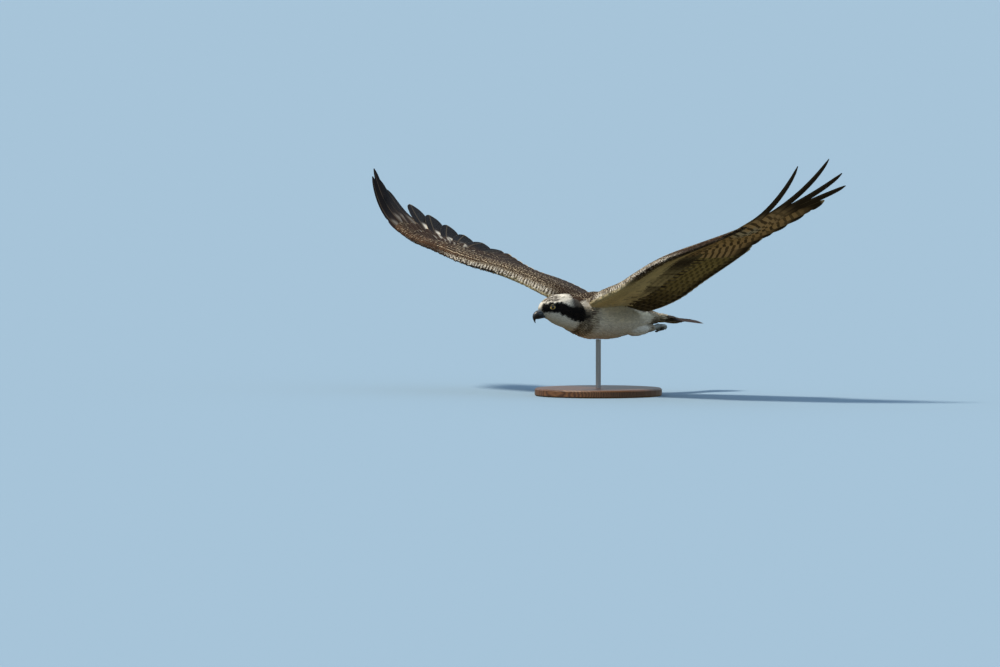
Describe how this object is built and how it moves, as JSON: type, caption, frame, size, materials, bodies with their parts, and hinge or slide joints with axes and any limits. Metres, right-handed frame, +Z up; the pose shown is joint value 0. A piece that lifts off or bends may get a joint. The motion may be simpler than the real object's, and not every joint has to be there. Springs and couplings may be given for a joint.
{
  "type": "osprey in flight",
  "caption": "Life-size osprey in level flight with raised wings, spread wingtip feathers, hooked bill and tucked feet, on a round display base with a rod.",
  "frame": {"origin": "centre of the display base's underside", "axes": "+Z up, the bird faces -Y, its left wing is on the +X side"},
  "size_m": [1.4842, 0.5301, 0.5759],
  "materials": {
    "plumage_pale": "soft matt body feathers",
    "plumage_dark": "close dark brown vanes with pale edges",
    "eye": "wet and glossy",
    "bill": "satin black horn",
    "leg_skin": "pale grey scaly skin",
    "wood": "satin varnish",
    "steel": "brushed"
  },
  "bodies": {
    "root": {"torso": "plumage_pale", "neck": "plumage_pale", "head": "plumage_pale", "left_eye": "eye", "right_eye": "eye", "bill_upper": "bill", "bill_lower": "bill", "left_wing_arm": "plumage_dark", "left_wing_hand": "plumage_dark", "right_wing_arm": "plumage_dark", "right_wing_hand": "plumage_dark", "tail": "plumage_dark", "left_leg": "leg_skin", "right_leg": "leg_skin", "stand_base": "wood", "stand_rod": "steel"}
  },
  "joints": []
}
